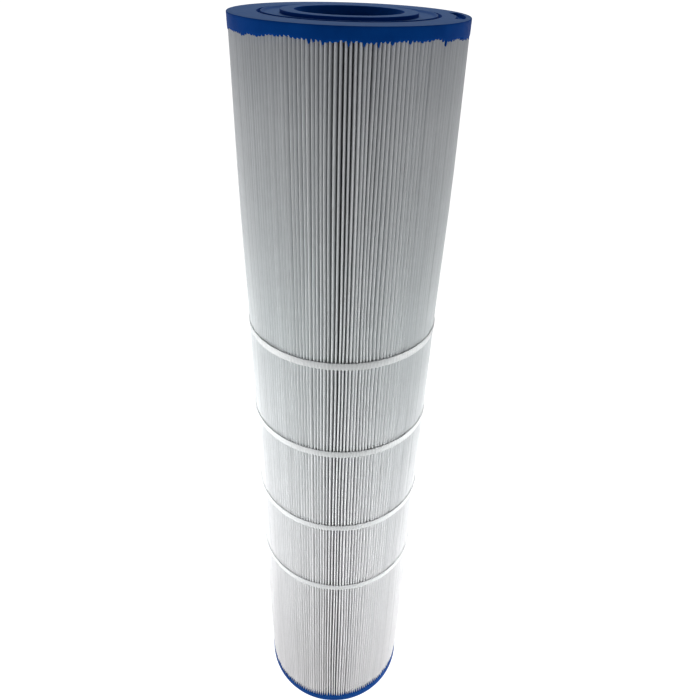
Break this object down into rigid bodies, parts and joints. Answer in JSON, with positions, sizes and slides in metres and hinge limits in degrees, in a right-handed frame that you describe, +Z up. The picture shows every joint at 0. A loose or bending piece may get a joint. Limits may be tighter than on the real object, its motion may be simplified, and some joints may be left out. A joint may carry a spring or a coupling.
{
  "type": "filter cartridge",
  "caption": "Tall cylindrical pleated filter cartridge with cast end caps, an open bore from end to end, a lattice core and thin bands round the pleats.",
  "frame": {"origin": "centre of the lower sealing face, on the cartridge's axis", "axes": "+Z up the cartridge's axis towards the upper end cap; +X to the right with -Y towards the viewer; the media's glued seam is at +Y"},
  "size_m": [0.1794, 0.1794, 0.828],
  "materials": {
    "cap_urethane": "satin cast urethane",
    "pleat_fabric": "matte spunbond polyester",
    "core_plastic": "moulded satin",
    "band_plastic": "satin translucent white",
    "seam_glue": "set hot-melt glue"
  },
  "bodies": {
    "root": {"top_end_cap": "cap_urethane", "bottom_end_cap": "cap_urethane", "pleated_media": "pleat_fabric", "media_seam": "seam_glue", "core_section_1": "core_plastic", "core_section_2": "core_plastic", "core_section_3": "core_plastic", "core_section_4": "core_plastic", "band_1": "band_plastic", "band_2": "band_plastic", "band_3": "band_plastic", "band_4": "band_plastic"}
  },
  "joints": []
}
